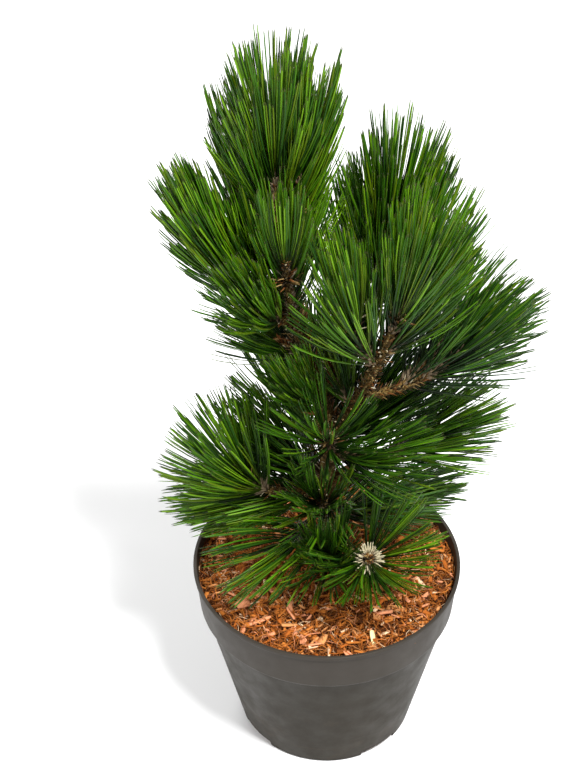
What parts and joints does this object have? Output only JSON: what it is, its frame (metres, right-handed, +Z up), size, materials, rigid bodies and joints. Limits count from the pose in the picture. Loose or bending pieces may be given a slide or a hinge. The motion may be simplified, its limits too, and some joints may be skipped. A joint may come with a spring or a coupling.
{
  "type": "young bosnian pine in a round nursery pot",
  "caption": "Young upright Bosnian pine with dense stiff paired needles on short boughs, in a round dark plastic nursery pot of potting mix topped with wood fibre mulch.",
  "frame": {"origin": "middle of the pot's flat underside, on the ground that it stands on", "axes": "+Z up along the pot's axis, +X to the right and +Y away from the camera in the picture"},
  "size_m": [0.2811, 0.2312, 0.6073],
  "materials": {
    "pot_plastic": "satin dark warm grey moulded plastic",
    "mulch": "shredded orange-brown wood fibre with pale chips over potting mix",
    "bark": "scaly brown bark",
    "needles": "satin dark green needles"
  },
  "bodies": {
    "root": {"bough_back_left": "bark", "bough_back_low": "bark", "bough_back_right": "bark", "bough_front_low": "bark", "bough_left_low": "bark", "bough_left_upper": "bark", "bough_right_front": "bark", "bough_right_low": "bark", "bough_right_side": "bark", "needles_back_left": "needles", "needles_back_low": "needles", "needles_back_right_side": "needles", "needles_back_right_top": "needles", "needles_front_low": "needles", "needles_leader": "needles", "needles_leader_front": "needles", "needles_leader_left": "needles", "needles_leader_right": "needles", "needles_left_low": "needles", "needles_left_upper": "needles", "needles_right_front_left": "needles", "needles_right_front_right": "needles", "needles_right_front_top": "needles", "needles_right_low": "needles", "needles_right_side": "needles", "needles_right_side_back": "needles", "needles_spur_bough_back": "needles", "needles_spur_bough_front": "needles", "needles_spur_centre": "needles", "needles_spur_centre_left": "needles", "needles_spur_centre_right": "needles", "needles_spur_front": "needles", "needles_spur_inner_front": "needles", "needles_spur_inner_right": "needles", "needles_spur_low_front": "needles", "needles_spur_low_left": "needles", "needles_spur_low_right": "needles", "needles_spur_middle_back": "needles", "needles_spur_middle_front": "needles", "needles_spur_middle_left": "needles", "needles_spur_upper_back": "needles", "needles_spur_upper_left": "needles", "pot": "pot_plastic", "potting_mix": "mulch", "trunk": "bark"}
  },
  "joints": []
}
